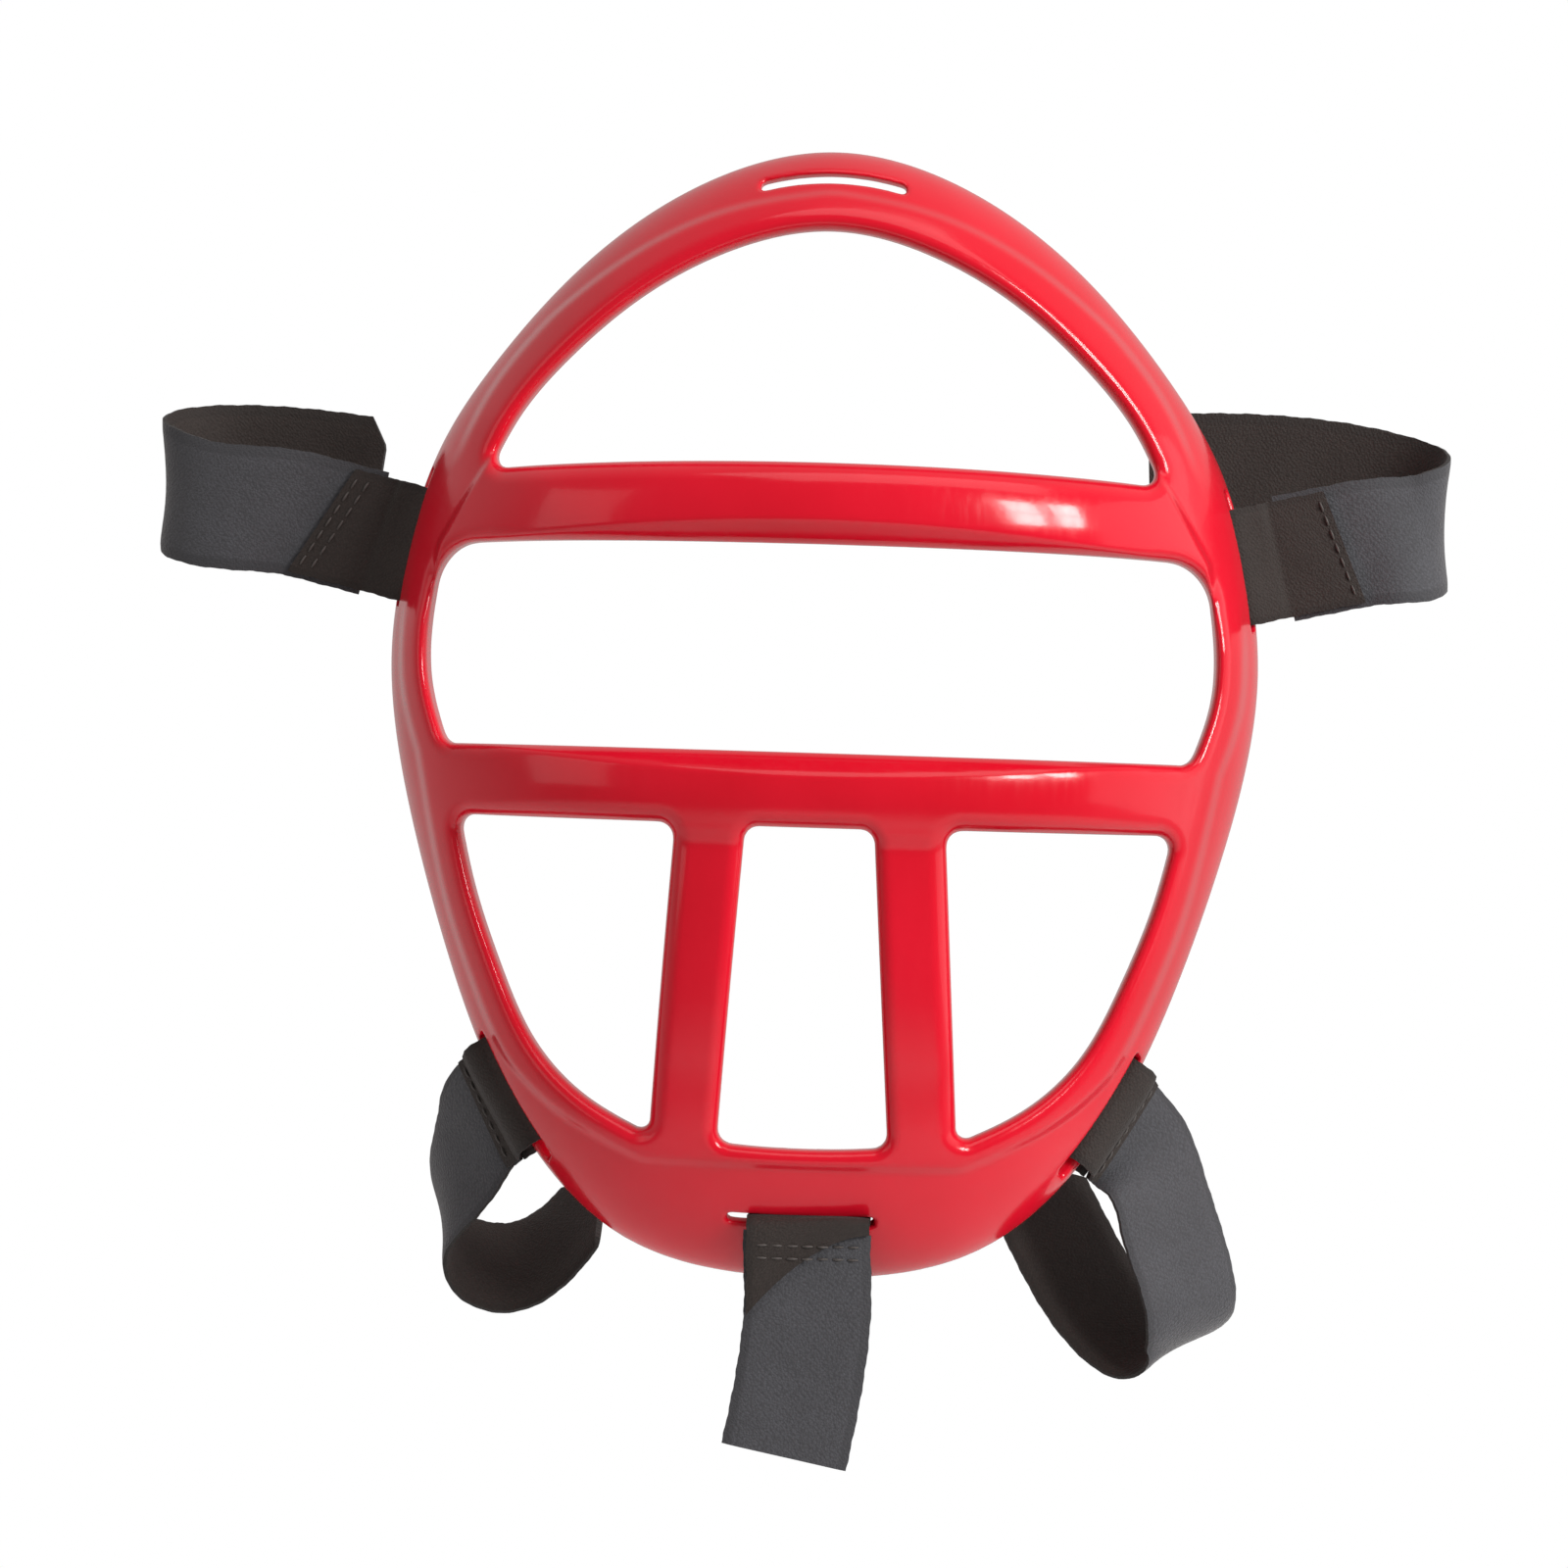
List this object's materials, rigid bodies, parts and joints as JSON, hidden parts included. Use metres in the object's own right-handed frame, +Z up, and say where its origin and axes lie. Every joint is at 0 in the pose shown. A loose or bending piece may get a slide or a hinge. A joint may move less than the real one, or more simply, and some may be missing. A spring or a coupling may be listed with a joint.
{
  "type": "catcher's face mask",
  "caption": "One-piece moulded face guard with bars across brow, cheeks and mouth, held on by hook-and-loop straps.",
  "frame": {"origin": "middle of the face opening, in the plane of the two side rims, at the height of the lower part of the eye opening", "axes": "+X across the mask to its right side as seen from the front, +Y from the front of the guard back to the face, +Z up"},
  "size_m": [0.2808, 0.0925, 0.273],
  "materials": {
    "guard_plastic": "gloss",
    "loop_tape": "looped pile",
    "hook_tape": "woven, with hooks",
    "thread": "twisted thread"
  },
  "bodies": {
    "mask": {"mask_frame": "guard_plastic", "chin_strap_hook_tape": "hook_tape"},
    "temple_strap_left": {"temple_strap_left_hook_tape": "hook_tape", "temple_strap_left_loop_tape": "loop_tape", "temple_strap_left_stitching": "thread"},
    "temple_strap_right": {"temple_strap_right_hook_tape": "hook_tape", "temple_strap_right_loop_tape": "loop_tape", "temple_strap_right_stitching": "thread"},
    "jaw_strap_left": {"jaw_strap_left_hook_tape": "hook_tape", "jaw_strap_left_loop_tape": "loop_tape", "jaw_strap_left_stitching": "thread"},
    "jaw_strap_right": {"jaw_strap_right_hook_tape": "hook_tape", "jaw_strap_right_loop_tape": "loop_tape", "jaw_strap_right_stitching": "thread"},
    "chin_strap": {"chin_strap_loop_tape": "loop_tape", "chin_strap_stitching": "thread"}
  },
  "joints": [
    {"name": "temple_left_swing", "type": "hinge", "parent": "mask", "child": "temple_strap_left", "pos_m": [-0.08786, -0.0033, 0.02937], "axis": [-0.2238, 0.0655, -0.9724], "range_deg": [-25, 60]},
    {"name": "temple_right_swing", "type": "hinge", "parent": "mask", "child": "temple_strap_right", "pos_m": [0.08786, -0.0033, 0.02937], "axis": [-0.2238, -0.0655, 0.9724], "range_deg": [-25, 60]},
    {"name": "jaw_left_swing", "type": "hinge", "parent": "mask", "child": "jaw_strap_left", "pos_m": [-0.0617, -0.01766, -0.09018], "axis": [0.5161, -0.2214, -0.8274], "range_deg": [-30, 45]},
    {"name": "jaw_right_swing", "type": "hinge", "parent": "mask", "child": "jaw_strap_right", "pos_m": [0.0617, -0.01766, -0.09018], "axis": [0.5161, 0.2214, 0.8274], "range_deg": [-30, 45]},
    {"name": "chin_swing", "type": "hinge", "parent": "mask", "child": "chin_strap", "pos_m": [0.0018, -0.0436, -0.1118], "axis": [-1, 0, 0], "range_deg": [0, 65]}
  ]
}
